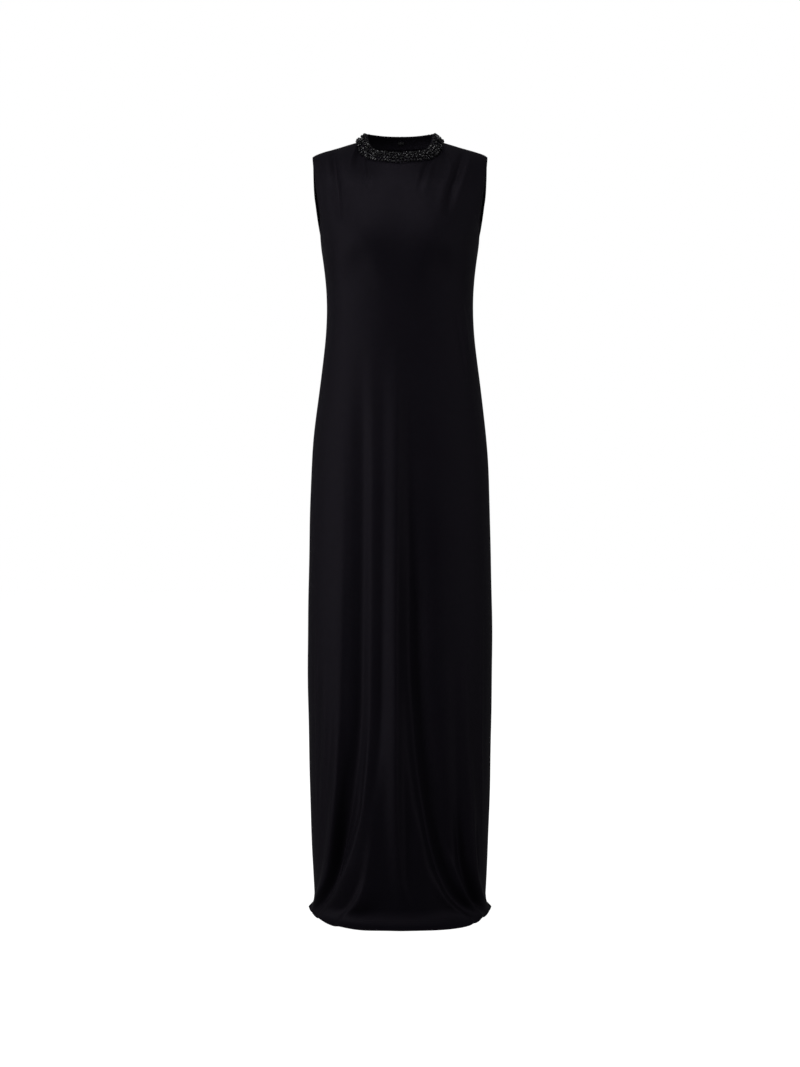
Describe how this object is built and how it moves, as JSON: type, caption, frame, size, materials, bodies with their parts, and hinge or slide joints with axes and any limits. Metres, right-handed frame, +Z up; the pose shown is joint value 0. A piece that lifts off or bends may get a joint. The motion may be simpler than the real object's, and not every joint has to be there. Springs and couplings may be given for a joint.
{
  "type": "maxi dress",
  "caption": "Sleeveless floor-length dress of stretch jersey with a beaded stand band at the neck, filled out as it is worn and hollow, its hem spread a little on the floor.",
  "frame": {"origin": "between the wearer's shoulders, on the plane of the side and shoulder seams, 1.540 m above the floor that the hem lies on", "axes": "+Z up; the front faces -Y; the wearer's left is +X"},
  "size_m": [0.3746, 0.3273, 1.5817],
  "materials": {
    "jersey": "fine smooth stretch jersey with a soft satin sheen",
    "beads": "black faceted and round beads sewn close together, glossy",
    "hook_metal": "plain steel, slightly dull"
  },
  "bodies": {
    "root": {"front_panel": "jersey", "back_panel": "jersey", "neck_band": "beads", "hook": "hook_metal", "bar": "hook_metal"}
  },
  "joints": []
}
